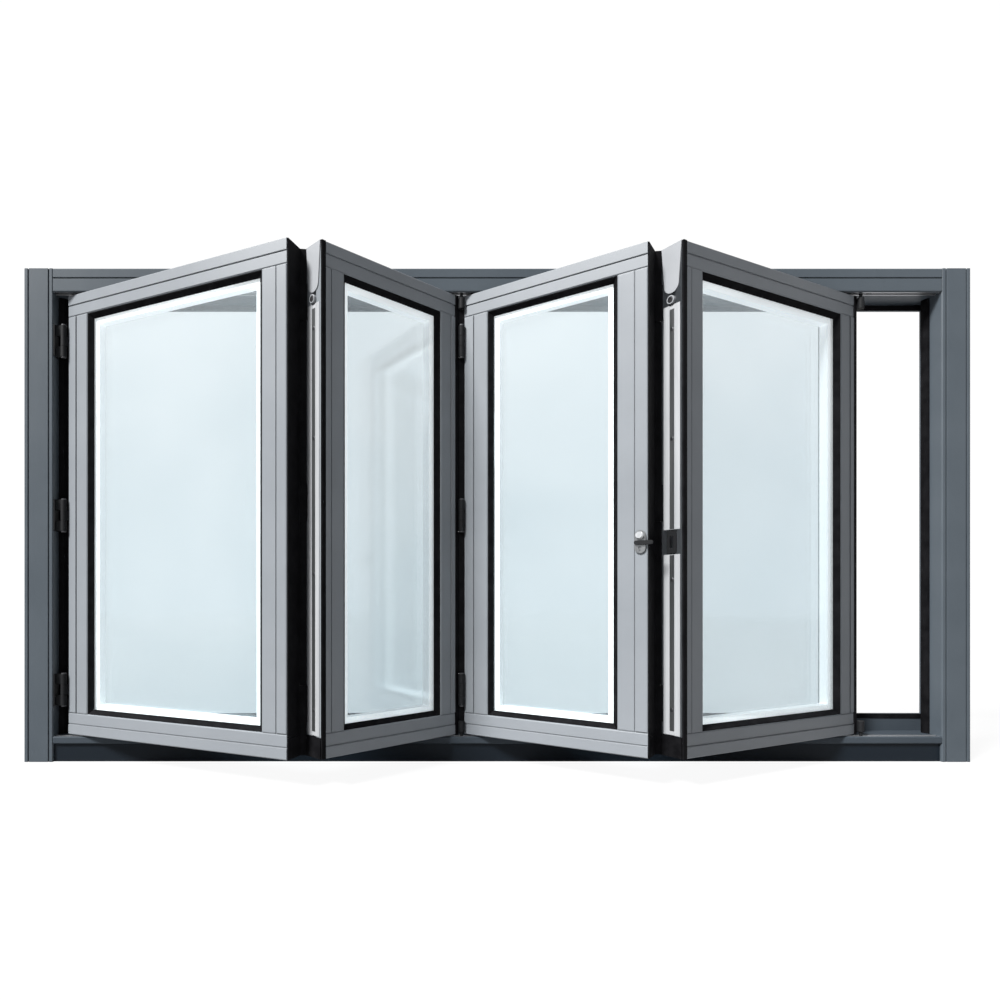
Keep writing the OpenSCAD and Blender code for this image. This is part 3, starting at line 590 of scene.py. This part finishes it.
# %% [markdown]
# ## Screws
#
# A screw head is a low dome with a six-sided socket. Rings of points draw it: the foot, the
# shoulder, the rim of the socket pulled into a hexagon, and the same rim again at the
# socket's floor. A head looks along its own axis, so one more matrix lays it on the face
# that it holds down.
# %% Screw heads
def screw_faces(radius, rise, socket, deep, shank=0.0, into=2.4, points=24):
    def ring(r, up, six=False):
        spots = []
        half_side = math.pi / 6
        for i in range(points):
            a = 2 * math.pi * i / points
            slant = a % (2 * half_side) - half_side
            pull = math.cos(half_side) / math.cos(slant) if six else 1.0
            spots.append((r * pull * math.cos(a), r * pull * math.sin(a), up))
        return spots

    rings = [ring(radius, 0), ring(radius * 0.97, rise * 0.5), ring(radius * 0.78, rise),
             ring(socket * 1.25, rise), ring(socket, rise, True),
             ring(socket * 0.95, rise - deep, True)]
    if shank:
        rings = [ring(shank, -into), ring(shank, 0)] + rings
    faces = [[a[i], a[(i + 1) % points], b[(i + 1) % points], b[i]]
             for a, b in zip(rings, rings[1:]) for i in range(points)]
    return faces + [rings[0], rings[-1]]


def set_screw(faces, place):
    return [[tuple(place @ Vector(c)) for c in face] for face in faces]


def lay(x, y, z, way):
    about = {"left": "Y", "back": "X"}[way]
    return Matrix.Translation((x, y, z)) @ Matrix.Rotation(-math.pi / 2, 4, about)


dark_screw = bare_metal("dark_screw", (0.05, 0.05, 0.055), (0.09, 0.09, 0.095), 0.4,
                        stretch=(1.0, 1.0, 1.0))
HINGE_H, FLAP_T, SCREW_OUT, SCREW_IN = 70, 2.6, 27, 14
HINGE_MIDDLES = (100, 489, 878)
hinge_low = [middle - HINGE_H / 2 for middle in HINGE_MIDDLES]
hinge_screw = screw_faces(radius=4.3, rise=1.3, socket=1.7, deep=1.1, shank=2.3)
apexes = (("left", apex_left, -turn1, turn2), ("right", apex_right, -turn3, turn4))
for label, apex, left_turn, right_turn in apexes:
    heads = []
    for side, turn in ((-1, left_turn), (1, right_turn)):
        at_axis = Matrix.Rotation(turn, 4, "Z")
        for low in hinge_low:
            for up in (SCREW_IN, HINGE_H - SCREW_IN):
                spot = lay(side * SCREW_OUT, -AXIS_OFF + FLAP_T, low + up, "back")
                heads += set_screw(hinge_screw, at_axis @ spot)
    screws = small_piece("apex_screws_" + label, dark_screw, heads,
                         turned_at(*apex, LEAF_Z, 0))
    print(screws.name, "faces:", len(screws.data.polygons))

# %% [markdown]
# The strips are held by small dark screws down their middle, and a larger one sits on each
# round boss under the plates at the top.
# %% Screws on the leaf edges
BOSS_Z, BOSS_OUT, ROD_MIDDLE = 876, 5.0, 24.5
strip_screw = screw_faces(radius=3.8, rise=0.7, socket=1.5, deep=0.6)
boss_screw = screw_faces(radius=6.2, rise=0.6, socket=2.4, deep=0.5)
leaf_edges = (("leaf2", leaf2_place, (90, 350, 610, 820)),
              ("leaf4", leaf4_place, (90, 340, 610, 820)))
for leaf, place, heights in leaf_edges:
    heads = []
    for z in heights:
        heads += set_screw(strip_screw, lay(-ROD_UP, ROD_MIDDLE, z, "left"))
    small_piece(leaf + "_strip_screws", dark_screw, heads, place)
    knob = set_screw(boss_screw, lay(-BOSS_OUT, LEAF_T / 2, BOSS_Z, "left"))
    small_piece(leaf + "_boss_screw", dark_screw, knob, place)
    print(leaf, "strip screws at", heights, "mm, boss screw at", BOSS_Z, "mm")

# %% [markdown]
# ## Rubber behind the front hinges
#
# A soft web closes the narrow end of the gap between two leaves. Behind each front hinge it
# is drawn in a little, so that the knuckles can turn, and without these short lengths
# daylight would show as slits. The plan is a thin bar from one leaf's edge to the other's.
# %% Hinge webs
def from_axis(x, y, turn):
    return (x * math.cos(turn) - y * math.sin(turn), x * math.sin(turn) + y * math.cos(turn))


WEB_FRONT, WEB_BACK, WEB_LEFT, WEB_RIGHT, WEB_OVER = -11.6, -9.9, -0.9, 2.8, 0.45
for label, apex, left_turn, right_turn in apexes:
    plan = [from_axis(WEB_LEFT, WEB_FRONT, left_turn), from_axis(WEB_LEFT, WEB_BACK, left_turn),
            from_axis(WEB_RIGHT, WEB_BACK, right_turn), from_axis(WEB_RIGHT, WEB_FRONT, right_turn)]
    lengths = []
    for low in hinge_low:
        lengths += prism(plan, low - WEB_OVER, low + HINGE_H + WEB_OVER)
    web = small_piece("hinge_webs_" + label, rubber, lengths,
                      turned_at(*apex, LEAF_Z, 0))
    print(web.name, "faces:", len(web.data.polygons))

# %% [markdown]
# ## Light
#
# The leaves that face left are bright and those that face right are dark, so the main light
# comes from the left, well round the side of the wall. It stands high: upright glass mirrors
# a level view at the same height, so a high lamp never shows in it as a hot spot.
# %% The lamp
lamp_data = bpy.data.lights.new("left_lamp", "SUN")
lamp_data.energy = 9.3
lamp_data.angle = math.radians(13)
lamp_data.color = (1.0, 0.99, 0.975)
lamp = bpy.data.objects.new("left_lamp", lamp_data)
side, height = math.radians(54), math.radians(42)
level = math.cos(height)
towards = Vector((-math.sin(side) * level, -math.cos(side) * level, math.sin(height)))
lamp.rotation_euler = towards.to_track_quat("Z", "Y").to_euler()
scene.collection.objects.link(lamp)
print("lamp from", [round(v, 2) for v in towards])

# %% [markdown]
# ## A flag for leaf 4
#
# Leaf 4 is turned less than leaf 2, so the lamp would still rake across its face, and it
# should look as dark as leaf 2. In a studio a black card, called a flag, keeps the lamp off
# one part of the set. Light linking does the same without a card: a collection names the
# bars of leaf 4 as left out of this one lamp. The sky still lights them.
# %% The flag
flagged = bpy.data.collections.new("kept_from_lamp")
for name in ("leaf4_stiles", "leaf4_rails"):
    flagged.objects.link(nodes[name])
for entry in flagged.collection_objects:
    entry.light_linking.link_state = "EXCLUDE"
lamp.light_linking.receiver_collection = flagged

# %% [markdown]
# ## A white ground that throws little light back
#
# A catalogue picture is lit against paper that prints pure white, yet the paper must not
# fill the dark leaves with light. A photographer would hang black flags beside the object.
# Here the light path node does that work: the sky is white where it is seen or mirrored, and
# what spreads onto the window is a dimmer grey.
# %% The sky and the floor
def seen_or_lit(tree, seen, lit, mirrored):
    path = add(tree, "ShaderNodeLightPath")
    either = add(tree, "ShaderNodeMath", operation="MAXIMUM")
    tree.links.new(path.outputs["Is Camera Ray"], either.inputs[0])
    if mirrored:
        tree.links.new(path.outputs["Is Glossy Ray"], either.inputs[1])
    else:
        either.inputs[1].default_value = 0.0
    choice = add(tree, "ShaderNodeMapRange")
    choice.inputs["To Min"].default_value = lit
    choice.inputs["To Max"].default_value = seen
    tree.links.new(either.outputs["Value"], choice.inputs["Value"])
    return choice


sky = bpy.data.worlds.new("pale_sky")
sky.use_nodes = True
sky_light = sky.node_tree.nodes["Background"]
sky_light.inputs["Color"].default_value = (0.95, 0.975, 1.0, 1)
sky_amount = seen_or_lit(sky.node_tree, seen=1.05, lit=0.28, mirrored=True)
sky.node_tree.links.new(sky_amount.outputs["Result"], sky_light.inputs["Strength"])
scene.world = sky

paper, paper_tree, paper_shader = blank("white_paper")
paper_where = add(paper_tree, "ShaderNodeTexCoord")
paper_fibre = add(paper_tree, "ShaderNodeTexNoise", Scale=1.2, Detail=3.0)
paper_tree.links.new(paper_where.outputs["Object"], paper_fibre.inputs["Vector"])
paper_colour = shades(paper_tree, paper_fibre.outputs["Fac"], (0.34, 0.34, 0.345),
                      (0.38, 0.38, 0.385))
paper_tree.links.new(paper_colour.outputs["Color"], paper_shader.inputs["Base Color"])
paper_shader.inputs["Roughness"].default_value = 0.9
paper_shader.inputs["Specular IOR Level"].default_value = 0.1
paper_glow = add(paper_tree, "ShaderNodeEmission", Color=(1, 1, 1, 1), Strength=1.09)
paper_amount = seen_or_lit(paper_tree, seen=0.85, lit=0.0, mirrored=False)
paper_mix = add(paper_tree, "ShaderNodeMixShader")
paper_tree.links.new(paper_amount.outputs["Result"], paper_mix.inputs["Fac"])
paper_tree.links.new(paper_shader.outputs["BSDF"], paper_mix.inputs[1])
paper_tree.links.new(paper_glow.outputs["Emission"], paper_mix.inputs[2])
paper_out = paper_tree.nodes["Material Output"]
paper_tree.links.new(paper_mix.outputs["Shader"], paper_out.inputs["Surface"])
pale_floor.data.materials.append(paper)
print("sky and floor ready")
